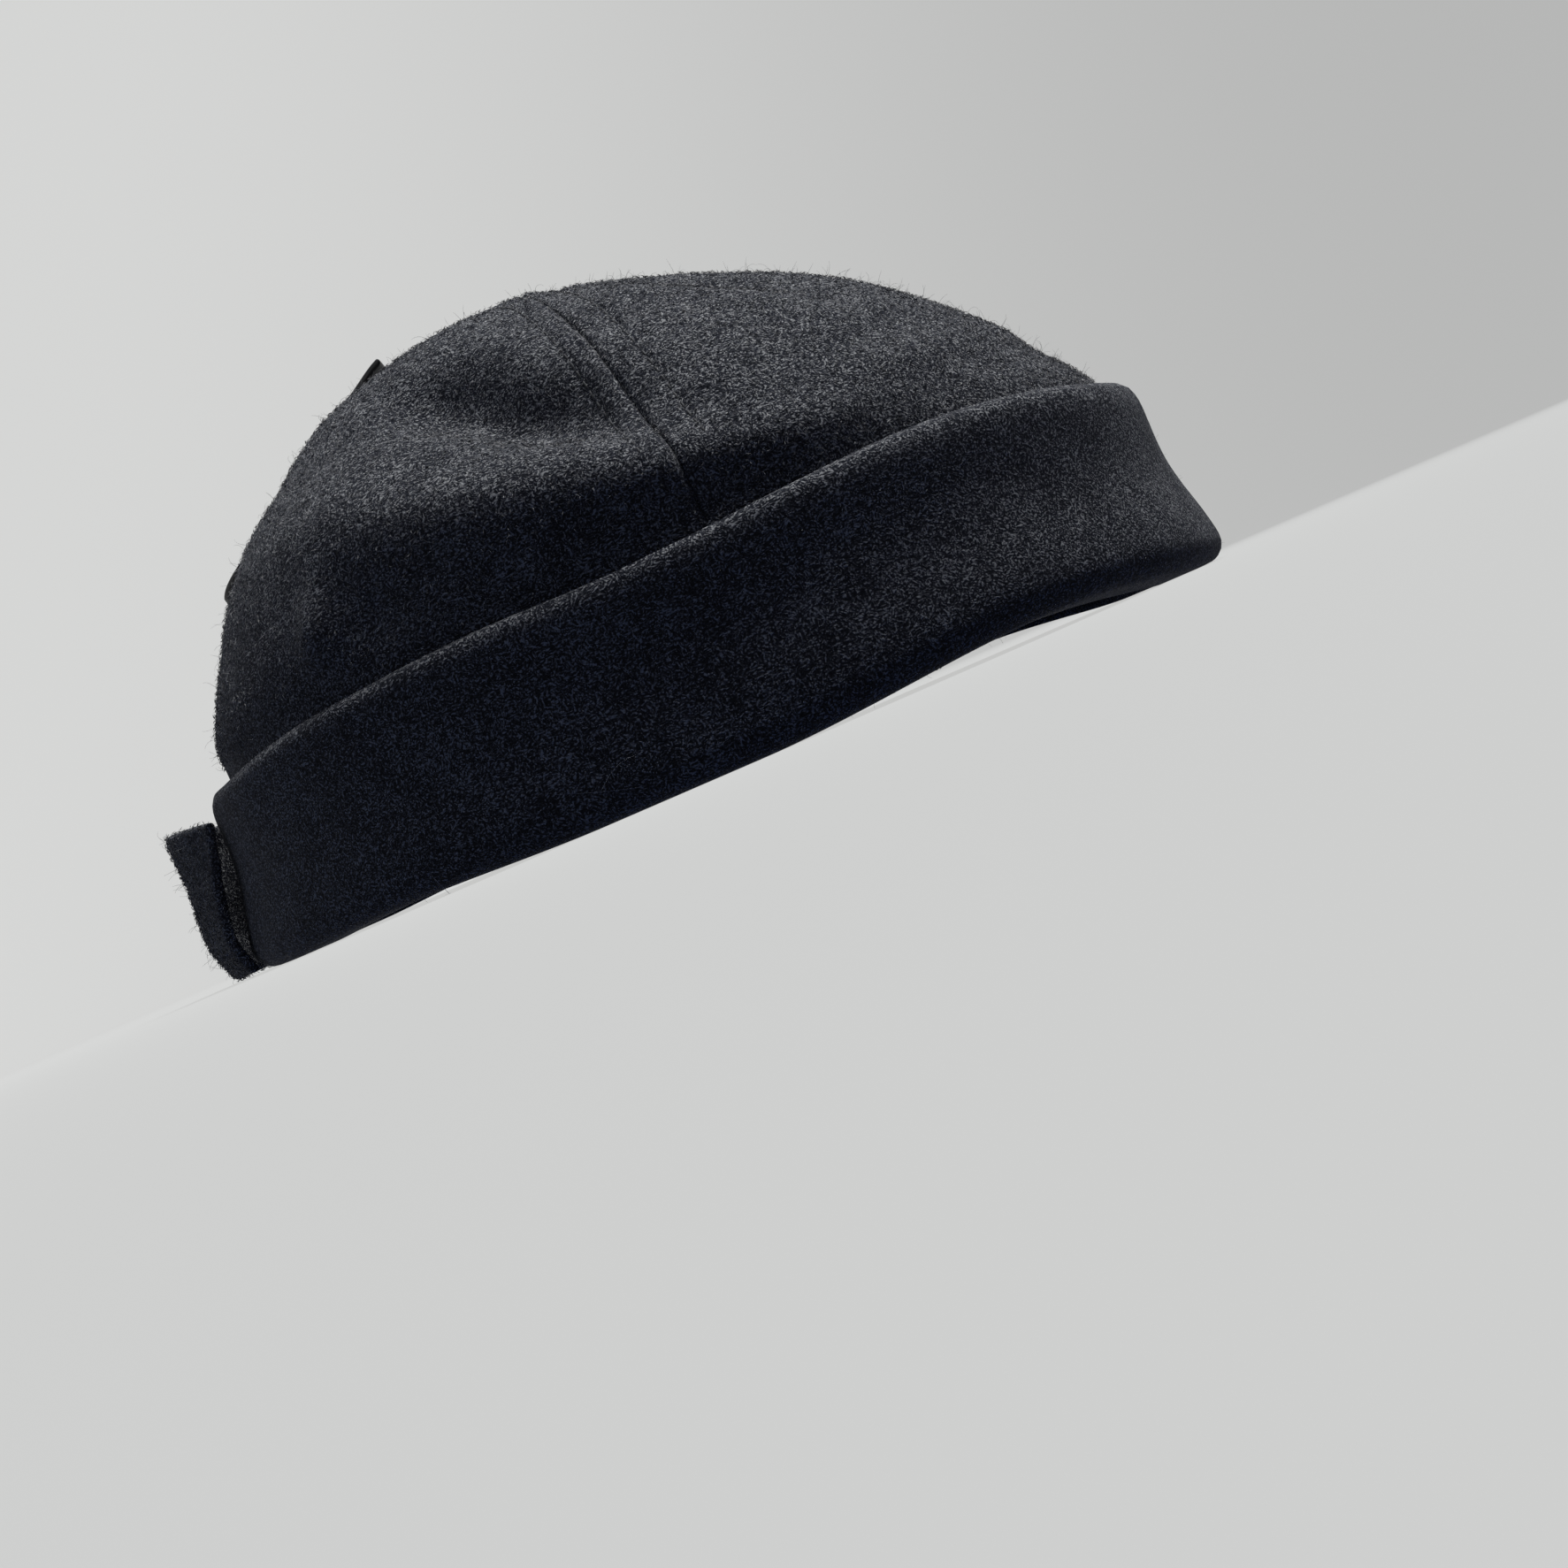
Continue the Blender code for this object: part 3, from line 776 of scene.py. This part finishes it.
def patch(finish, twisted):
    """The leather patch on the back left gore, and the stitches round it. It follows the
    cloth, and its ends curl up."""
    middle = patch_near_edge + 0.5 * patch_width
    along = edge_places(patch_length, patch_wall, patch_columns)
    fine = np.linspace(-patch_top_reach, -2.0 * patch_top_reach - patch_length, search_steps)
    fine = fine[fine**2 + middle**2 < (0.99 * crown_back) ** 2]
    line = crown_base(*under_place(fine, middle))
    x = np.interp(along, lengths_along(line), line[:, 0])
    share = along / patch_length
    corner = np.maximum(0.0, 1.0 - patch_length * (1.0 - share) / (0.5 * patch_width))
    fullness = patch_end_share + (1.0 - patch_end_share) * np.sqrt(1.0 - corner**2)
    half = 0.5 * patch_width * fullness
    across = edge_places(patch_width, patch_wall, patch_rows) / patch_width * 2.0 - 1.0
    y = middle + half[:, None] * across[None, :]
    x = np.broadcast_to(x[:, None], y.shape)
    azimuth, climb = under_place(x, y)
    ends = np.abs(2.0 * share - 1.0)[:, None]
    held = smooth_step((1.0 - ends) / patch_free_share)[..., None]
    cloth = crown_point(azimuth, climb) * held + crown_base(azimuth, climb) * (1.0 - held)
    curl = np.where(share < 0.5, patch_top_curl, patch_low_curl)[:, None] * ends**patch_curl_power
    nearest = np.minimum(half[:, None] * (1.0 - np.abs(across)), patch_length * (0.5 - 0.5 * ends))
    wall = rounded_wall(nearest, patch_wall)
    outward = crown_outward(azimuth, climb)
    base = cloth + outward * (patch_gap + curl)[..., None]
    sewn = np.exp(-(((nearest - patch_stitch_inset) / patch_groove_width) ** 2))
    outer = base + outward * (0.5 * patch_wall + 0.5 * wall - patch_groove * sewn)[..., None]
    inner = base + outward * (0.5 * patch_wall - 0.5 * wall)[..., None]
    shell("leather_patch_skin", outer, inner, finish, "leather_patch")
    inset = int(np.argmin(np.abs(along - patch_stitch_inset)))
    side = int(np.argmin(np.abs((1.0 + across) * 0.5 * patch_width - patch_stitch_inset)))
    ring = border(outer[inset:-inset, side:-side])
    up = border(outward[inset:-inset, side:-side])
    stitches = thread(ring, up, patch_stitch_radius, patch_stitch_pitch, patch_stitch_length)
    mesh_piece("patch_stitches", *stitches, twisted)


def thread(line, outward, radius, pitch, length):
    """Stitches along a line of points: closed threads whose two ends dip into the cloth."""
    steps = lengths_along(line)
    count = int(steps[-1] / pitch)
    starts = (np.arange(count) + 0.5) * pitch - 0.5 * length
    shares = np.linspace(0.0, 1.0, thread_rings)
    places = starts[:, None] + length * shares[None, :]
    centre = np.stack([np.interp(places, steps, side) for side in line.T], axis=-1)
    up = unit(np.stack([np.interp(places, steps, side) for side in outward.T], axis=-1))
    dip = 2.2 * radius * (2.0 * shares - 1.0) ** 4
    centre = centre + up * (0.75 * radius - stitch_sink - dip)[None, :, None]
    forward = unit(np.gradient(centre, axis=1))
    aside = unit(np.cross(forward, up))
    up = np.cross(aside, forward)
    turns = np.linspace(0.0, 2.0 * math.pi, thread_sides, endpoint=False)[:, None]
    size = radius * np.where((shares == 0.0) | (shares == 1.0), 0.4, 1.0)
    ring = aside[:, :, None] * np.cos(turns) + up[:, :, None] * np.sin(turns)
    points = centre[:, :, None] + ring * size[None, :, None, None]
    tube = grid_faces(thread_rings, thread_sides, close_columns=True)
    caps = np.array([[0, 3, 2, 1], [0, 5, 4, 3], [0, 1, 2, 3], [0, 3, 4, 5]])
    caps[2:] += (thread_rings - 1) * thread_sides
    return many(points, np.concatenate([tube, caps]))


def border(grid):
    """The points round the edge of a grid, back to the first one."""
    sides = [grid[0, :-1], grid[:-1, -1], grid[-1, :0:-1], grid[:0:-1, 0], grid[:1, 0]]
    return np.concatenate(sides)


def many(points, faces):
    """Like pieces as one list of points and faces, from all their points and one's faces."""
    count = len(points)
    points = points.reshape(count, -1, 3)
    numbers = faces + points.shape[1] * np.arange(count)[:, None, None]
    return points.reshape(-1, 3), numbers.reshape(-1, faces.shape[1])


def joined(parts):
    """Several lists of points and faces as one."""
    points, faces, first = [], [], 0
    for some_points, some_faces in parts:
        points.append(some_points)
        faces.append(some_faces + first)
        first += len(some_points)
    return np.concatenate(points), np.concatenate(faces)


def seam_threads(finish):
    """The topstitching beside the crown's two side seams."""
    parts = []
    for seam, away, start, stop in STITCH_ROWS:
        climb = np.linspace(start, stop, search_steps)
        base = crown_base(np.full_like(climb, seam), climb)
        radius = np.hypot(base[:, 0], base[:, 1])
        azimuth = seam + np.degrees(np.arcsin(np.clip(away / radius, -0.5, 0.5)))
        line = crown_point(azimuth, climb)
        up = crown_outward(azimuth, climb)
        parts.append(thread(line, up, stitch_radius, stitch_pitch, stitch_length))
    mesh_piece("seam_stitches", *joined(parts), finish)


def quad_normals(corners):
    """The normals of quads, twice as long as their areas."""
    return np.cross(corners[:, 2] - corners[:, 0], corners[:, 3] - corners[:, 1])


def scatter(points, faces, count, random):
    """Random places on faces, spread by area, and the outward direction at each."""
    corners = points[faces]
    crossed = quad_normals(corners)
    area = np.linalg.norm(crossed, axis=1)
    chosen = random.choice(len(faces), count, p=area / area.sum())
    a, b = random.random((2, count, 1))
    low = corners[chosen, 0] * (1.0 - a) + corners[chosen, 1] * a
    high = corners[chosen, 3] * (1.0 - a) + corners[chosen, 2] * a
    return low * (1.0 - b) + high * b, unit(crossed[chosen])


def nap(places, outward, random):
    """Short bent fibres over the cloth, as closed spindles of six faces."""
    count = len(places)
    aside = unit(np.cross(outward, random.normal(size=(count, 3))))
    length = random.uniform(*NAP_LENGTHS, (count, 1))
    rise = np.radians(random.uniform(*NAP_RISES, (count, 1)))
    lean = np.cross(aside, outward) * np.cos(rise) + outward * np.sin(rise)
    root = places - outward * nap_sink
    tip = root + lean * length
    bend = aside * random.uniform(-nap_side_bend, nap_side_bend, (count, 1))
    middle = 0.5 * (root + tip) + (bend + outward * nap_up_bend) * length
    # No fibre reaches below the floor
    tip[:, 2] = np.maximum(tip[:, 2], 2.0 * nap_radius)
    middle[:, 2] = np.maximum(middle[:, 2], 3.0 * nap_radius)
    size = nap_radius * random.uniform(*NAP_THICKNESSES, (count, 1))
    beside = np.cross(lean, aside)
    points = [root, tip]
    for turn in THIRDS:
        points.append(middle + size * (aside * math.cos(turn) + beside * math.sin(turn)))
    faces = np.array([[2, 3, 1], [3, 4, 1], [4, 2, 1], [3, 2, 0], [4, 3, 0], [2, 4, 0]])
    return many(np.stack(points, axis=1), faces)


def hairs(places, outward, lengths, radius, rises, curl, random):
    """Curly loose fibres that rise from the cloth, as closed tubes of three sides."""
    count = len(places)
    shares = np.linspace(0.0, 1.0, fuzz_rings)
    aside = unit(np.cross(outward, random.normal(size=(count, 3))))
    forward = np.cross(aside, outward)
    rise = np.radians(random.uniform(*rises, (count, 1)))
    turn = random.uniform(-curl, curl, (count, 1))
    sway = random.uniform(-fuzz_sway, fuzz_sway, (count, 1))
    sway = sway * np.sin(random.uniform(0.0, fuzz_sway_start, (count, 1)) + fuzz_sway_turn * shares)
    angle = (rise + turn * shares)[..., None]
    step = forward[:, None] * np.cos(angle) + outward[:, None] * np.sin(angle)
    step = unit(step + aside[:, None] * sway[..., None])
    step = step * (lengths / (fuzz_rings - 1))[:, None, None]
    centre = (places - outward * nap_sink)[:, None] + np.cumsum(step, axis=1) - step[:, :1]
    centre[..., 2] = np.maximum(centre[..., 2], 2.0 * radius)
    forward = unit(step)
    second = unit(np.cross(forward, aside[:, None]))
    first = np.cross(second, forward)
    turns = THIRDS[:, None]
    ring = first[:, :, None] * np.cos(turns) + second[:, :, None] * np.sin(turns)
    size = radius * (1.0 - fuzz_taper * shares)
    points = centre[:, :, None] + ring * size[None, :, None, None]
    sides = grid_faces(fuzz_rings, 3, close_columns=True)
    last = 3 * fuzz_rings - 3
    caps = np.array([[0, 2, 1], [last, last + 1, last + 2]])
    return many(points, np.concatenate([sides[:, :3], sides[:, [0, 2, 3]], caps]))


def napped(name, surface, nap_count, fuzz_count, tones, seed, low=None):
    """The nap and fuzz of one piece of cloth, over its faces that show."""
    random = np.random.default_rng(seed)
    points, faces = surface
    if low is not None:
        faces = faces[points[faces].mean(axis=1)[:, 2] > low]
    short = nap(*scatter(points, faces, nap_count, random), random)
    places, outward = scatter(points, faces, fuzz_count, random)
    lengths = random.uniform(*FUZZ_LENGTHS, fuzz_count)
    loose = hairs(places, outward, lengths, fuzz_radius, FUZZ_RISES, fuzz_curl, random)
    kinds = []
    for fibres, count in ((short, nap_count), (loose, fuzz_count)):
        chosen = random.choice(len(tones), count, p=NAP_SHARES)
        kinds.append(chosen.repeat(len(fibres[1]) // count))
    piece = mesh_piece(name, *joined([short, loose]), *tones, kinds=np.concatenate(kinds))


def long_hairs(finish):
    """A few long pale hairs that cling to the cuff."""
    random = np.random.default_rng(long_hair_seed)
    places, outward = [], []
    for azimuth, height, _ in LONG_HAIRS:
        outline, away = cuff_frame(azimuth)
        share = height / (cuff_height * cuff_station(azimuth, 1))
        reach = cuff_face_out(azimuth, share) + 0.5 * cuff_wall
        level = height + cuff_height * cuff_station(azimuth, 2)
        places.append([*(outline + away * reach), level])
        outward.append([*away, 0.0])
    places = np.array(places)
    outward = np.array(outward)
    kind = (long_hair_radius, LONG_HAIR_RISES, long_hair_curl)
    points, faces = hairs(places, outward, column(LONG_HAIRS, 2), *kind, random)
    mesh_piece("long_hairs", points, faces, finish)


class Shading:
    """A new material's nodes, added and linked one at a time."""

    def __init__(self, name):
        self.made = bpy.data.materials.new(name)
        self.made.use_nodes = True
        self.nodes = self.made.node_tree.nodes
        self.links = self.made.node_tree.links
        self.surface = self.nodes["Principled BSDF"]
        self.place = self.add("ShaderNodeTexCoord").outputs["Object"]

    def add(self, kind, values=None, **settings):
        """A node with its settings, and its inputs set to values or linked to sockets."""
        made = self.nodes.new(kind)
        for name, value in settings.items():
            setattr(made, name, value)
        self.set(made, values or {})
        return made

    def set(self, made, values):
        """Links inputs to sockets, or gives them values."""
        for name, value in values.items():
            if isinstance(value, bpy.types.NodeSocket):
                self.links.new(value, made.inputs[name])
            else:
                made.inputs[name].default_value = value

    def shade(self, values):
        """Sets or links inputs of the surface's shader."""
        self.set(self.surface, values)

    def bump(self, height, strength, distance):
        """Gives the surface a relief."""
        values = {"Height": height, "Strength": strength, "Distance": distance}
        self.shade({"Normal": self.add("ShaderNodeBump", values).outputs["Normal"]})

    def maths(self, kind, first, second):
        """The result of a Math node on two values."""
        return self.add("ShaderNodeMath", {0: first, 1: second}, operation=kind).outputs[0]

    def mixed(self, first, first_share, second, second_share):
        """The sum of two values, each times its share."""
        first = self.maths("MULTIPLY", first, first_share)
        second = self.maths("MULTIPLY", second, second_share)
        return self.maths("ADD", first, second)

    def vectors(self, kind, first, second):
        """The result of a Vector Math node on two values."""
        other = "Scale" if kind == "SCALE" else 1
        output = "Value" if kind == "DOT_PRODUCT" else "Vector"
        made = self.add("ShaderNodeVectorMath", {0: first, other: second}, operation=kind)
        return made.outputs[output]

    def noise(self, size, detail, place=None):
        """Noise from 0 to 1 with lumps of about this size."""
        values = {"Vector": place or self.place, "Scale": 1.0 / size, "Detail": detail}
        return self.add("ShaderNodeTexNoise", values).outputs["Fac"]

    def mapped(self, value, low, high, to_low, to_high):
        """A value eased from one range to another."""
        values = {"From Min": low, "From Max": high, "To Min": to_low, "To Max": to_high}
        values["Value"] = value
        made = self.add("ShaderNodeMapRange", values, interpolation_type="SMOOTHSTEP")
        return made.outputs["Result"]

    def ramp(self, value, stops):
        """A value's colour between stops, each a position and a colour."""
        made = self.add("ShaderNodeValToRGB", {"Fac": value})
        points = made.color_ramp.elements
        while len(points) < len(stops):
            points.new(1.0)
        for point, (position, colour) in zip(points, stops):
            point.position = position
            point.color = (*colour, 1.0)
        return made.outputs["Color"]

    def fibres(self, tuft, width, length, shift):
        """Short streaks from 0 to 1, in a new direction in each tuft of cloth."""
        moved = self.vectors("ADD", self.place, (shift, shift, shift))
        bent = self.add("ShaderNodeTexNoise", {"Vector": moved, "Scale": 0.6 / tuft})
        waved = self.vectors("SCALE", bent.outputs["Color"], 0.5 * tuft)
        warped = self.vectors("ADD", moved, waved)
        cells = self.add("ShaderNodeTexVoronoi", {"Vector": warped, "Scale": 1.0 / tuft})
        turn = self.vectors("SCALE", cells.outputs["Color"], 2 * math.pi)
        values = {"Vector": warped, "Rotation": turn}
        turned = self.add("ShaderNodeVectorRotate", values, rotation_type="EULER_XYZ")
        thin = self.vectors("MULTIPLY", turned.outputs[0], (1 / width, 1 / width, 1 / length))
        return self.noise(1.0, 0.0, thin)


# Streaks of the wool's matted fibres, and its lighter and darker clouds
WOOL_STREAKS = [
    # tuft, width, length, shift
    (1.7 * MM, 0.36 * MM, 1.3 * MM, 0.0),
    (1.2 * MM, 0.26 * MM, 0.9 * MM, 7.0),
]
wool_cloud_size = 9 * MM
wool_cloud_tone = 0.018
wool_felt_size = 1.3 * MM

# Colours of the wool, from the depth of its nap to its palest fibres
WOOL_COLOURS = [
    # tone, colour
    (0.42, (0.002, 0.003, 0.007)),
    (0.50, (0.018, 0.020, 0.031)),
    (0.57, (0.102, 0.102, 0.106)),
    (0.66, (0.330, 0.330, 0.330)),
]
FIBRE_TONES = [
    # name, colour
    ("fibre_dark", (0.008, 0.010, 0.017)),
    ("fibre_grey", (0.112, 0.110, 0.113)),
    ("fibre_pale", (0.430, 0.420, 0.415)),
]
LEATHER_COLOURS = [
    # wear, colour
    (0.3, (0.006, 0.006, 0.007)),
    (0.7, (0.014, 0.013, 0.013)),
]
THREAD_COLOURS = [
    # tone, colour
    (0.35, (0.012, 0.012, 0.015)),
    (0.65, (0.045, 0.045, 0.050)),
]


def wool_finish():
    """Milled wool: matted fibres of mixed greys."""
    wool = Shading("wool")
    coarse = wool.fibres(*WOOL_STREAKS[0])
    fine = wool.fibres(*WOOL_STREAKS[1])
    matted = wool.mixed(coarse, 0.55, fine, 0.45)
    cloudy = wool.noise(wool_cloud_size, 2.0)
    cloudy = wool.mapped(cloudy, 0.3, 0.7, -wool_cloud_tone, wool_cloud_tone)
    wool.shade({
        "Base Color": wool.ramp(wool.maths("ADD", matted, cloudy), WOOL_COLOURS),
        "Roughness": wool.mapped(fine, 0.3, 0.7, 0.98, 0.82),
        "Specular IOR Level": 0.10,
        "Sheen Weight": 0.03,
        "Sheen Roughness": 0.55,
        "Sheen Tint": (0.62, 0.64, 0.70, 1.0),
    })
    felted = wool.noise(wool_felt_size, 2.0)
    wool.bump(wool.mixed(matted, 0.7, felted, 0.3), 0.85, 0.45 * MM)
    return wool.made


def leather_finish():
    """Smooth black leather with a fine grain and a soft gloss."""
    leather = Shading("leather")
    scale = 1.0 / (0.9 * MM)
    grain = leather.add("ShaderNodeTexVoronoi", {"Vector": leather.place, "Scale": scale})
    cells = leather.mapped(grain.outputs["Distance"], 0.0, 0.7, 0.0, 1.0)
    worn = leather.noise(7 * MM, 3.0)
    leather.shade({
        "Base Color": leather.ramp(worn, LEATHER_COLOURS),
        "Roughness": leather.mapped(worn, 0.3, 0.7, 0.46, 0.60),
        "Specular IOR Level": 0.36,
        "Coat Weight": 0.08,
        "Coat Roughness": 0.40,
    })
    fine = leather.noise(0.35 * MM, 2.0)
    leather.bump(leather.mixed(cells, -0.6, fine, 0.4), 0.35, 0.15 * MM)
    return leather.made


def fibre_finish(name, colour):
    """One tone of the wool's loose fibres."""
    tone = Shading(name)
    tone.shade({"Base Color": (*colour, 1.0), "Roughness": 0.75, "Specular IOR Level": 0.15})
    return tone.made


def thread_finish():
    """Twisted thread, a little smoother than the wool."""
    twist = Shading("thread")
    strands = twist.noise(0.3 * MM, 1.0)
    twist.shade({
        "Base Color": twist.ramp(strands, THREAD_COLOURS),
        "Roughness": twist.mapped(strands, 0.3, 0.7, 0.7, 0.85),
    })
    twist.bump(strands, 0.6, 0.12 * MM)
    return twist.made


def backdrop_finish():
    """A pale wall and floor whose glow is painted light, fading from one side to the other."""
    pale = Shading("backdrop")
    tilt = math.radians(camera_tilt)
    across = pale.vectors("DOT_PRODUCT", pale.place, (math.cos(tilt), 0.0, -math.sin(tilt)))
    pale.shade({
        "Base Color": (0.09, 0.09, 0.089, 1.0),
        "Roughness": 1.0,
        "Specular IOR Level": 0.0,
        "Emission Color": (0.98, 0.985, 0.97, 1.0),
        # Painted light: the glow is brighter on one side of the backdrop and dimmer on the other
        "Emission Strength": pale.mapped(across, -painted_light_fade, painted_light_fade, *PAINTED_WALL_LIGHT),
    })
    return pale.made


# The picture: the camera looks from the wearer's right, tilted as the hat is worn
camera_distance = 570 * MM
camera_elevation = 1.0
camera_tilt = 23.4
camera_lens = 61.1
aim_from_axis = 10.7 * MM
aim_level = -7.3 * MM

# The floor sweeps up into a wall; the backdrop's own glow is painted light, falling from one side
# to the other
floor_hole_radius = 1 * MM
floor_radius = 1.6
sweep_radius = 0.5
sweep_steps = 12
wall_top = 2.6
wall_sides = 96
painted_light_fade = 0.75
PAINTED_WALL_LIGHT = (0.67, 0.47)

# Lamps: the key light stands above the worn hat, a little to the back and far side
lamp_distance = 1.2
key_to_back = 0.10
key_to_far_side = 0.12
fill_direction = (-0.75, -0.60, 0.30)
sky_colour = (0.22, 0.37, 1.0, 1.0)
sky_strength = 0.060


def add_camera():
    """The camera at the photo's tilt and distance, just above the floor."""
    data = bpy.data.cameras.new("camera")
    data.lens = camera_lens
    data.clip_start = 1 * MM
    data.clip_end = 20.0
    eye = placed("camera", data)
    rise = math.radians(camera_elevation)
    tilt = math.radians(camera_tilt)
    aim = Vector((axis_x + aim_from_axis, 0.0, aim_level))
    place = aim + camera_distance * Vector((0.0, -math.cos(rise), math.sin(rise)))
    forward = (aim - place).normalized()
    right = forward.cross(Vector((math.sin(tilt), 0.0, math.cos(tilt)))).normalized()
    up = right.cross(forward)
    turn = Matrix((right, up, -forward)).transposed().to_4x4()
    eye.matrix_world = Matrix.Translation(place) @ turn
    bpy.context.scene.camera = eye


def add_stage():
    """A pale floor that sweeps up into a wall all round. Only the floor casts shadows."""
    finish = backdrop_finish()
    flat = [(floor_hole_radius, 0.0), (floor_radius, 0.0)]
    sweep = [(floor_radius, 0.0)]
    for angle in np.linspace(0.0, 0.5 * math.pi, sweep_steps + 1)[1:]:
        out = floor_radius + sweep_radius * math.sin(angle)
        sweep.append((out, sweep_radius * (1.0 - math.cos(angle))))
    sweep.append((floor_radius + sweep_radius, wall_top))
    turns = np.linspace(0.0, 2.0 * math.pi, wall_sides, endpoint=False)
    for name, profile in (("floor", flat), ("wall", sweep)):
        points = [(r * math.cos(turn), r * math.sin(turn), z) for r, z in profile for turn in turns]
        faces = grid_faces(len(profile), len(turns), close_columns=True)[:, ::-1]
        mesh = bpy.data.meshes.new(name)
        mesh.from_pydata(points, [], faces.tolist())
        mesh.shade_smooth()
        mesh.materials.append(finish)
        backdrop = placed(name, mesh)
        backdrop.visible_diffuse = False
        backdrop.visible_shadow = name == "floor"


def add_lamp(name, direction, size, watts, colour):
    """A square area lamp that shines at the hat from a direction."""
    data = bpy.data.lights.new(name, "AREA")
    data.energy = watts
    data.size = size
    data.color = colour
    lamp = placed(name, data)
    away = Vector(direction).normalized()
    lamp.location = away * lamp_distance
    lamp.rotation_euler = away.to_track_quat("Z", "Y").to_euler()


def add_light():
    """A strong key lamp, a weak bluish fill, and a faint blue light from all round."""
    tilt = math.radians(camera_tilt)
    above = (math.sin(tilt) - key_to_back, key_to_far_side, math.cos(tilt))
    add_lamp("key", above, 0.5, 17.8, (0.97, 0.99, 1.0))
    add_lamp("fill", fill_direction, 0.6, 0.45, (0.72, 0.84, 1.0))
    world = bpy.data.worlds.new("world")
    world.use_nodes = True
    sky = world.node_tree.nodes["Background"].inputs
    sky["Color"].default_value = sky_colour
    sky["Strength"].default_value = sky_strength
    bpy.context.scene.world = world
    bpy.context.scene.view_settings.view_transform = "Standard"


axis_x = seam_axis_x()
add_camera()
add_stage()
add_light()
wool = wool_finish()
twisted = thread_finish()
tones = [fibre_finish(name, colour) for name, colour in FIBRE_TONES]
for node, from_azimuth, to_azimuth, seed in GORES:
    surface = gore(node, from_azimuth, to_azimuth, wool)
    napped(node + "_nap", surface, gore_nap_count, gore_fuzz_count, tones, seed, cuff_height)
surface = cuff_shown(cuff(wool))
napped("cuff_nap", surface, cuff_nap_count, cuff_fuzz_count, tones, cuff_nap_seed)
napped("back_strap_nap", strap(wool), strap_nap_count, strap_fuzz_count, tones, strap_nap_seed)
seam_threads(twisted)
patch(leather_finish(), twisted)
long_hairs(tones[-1])
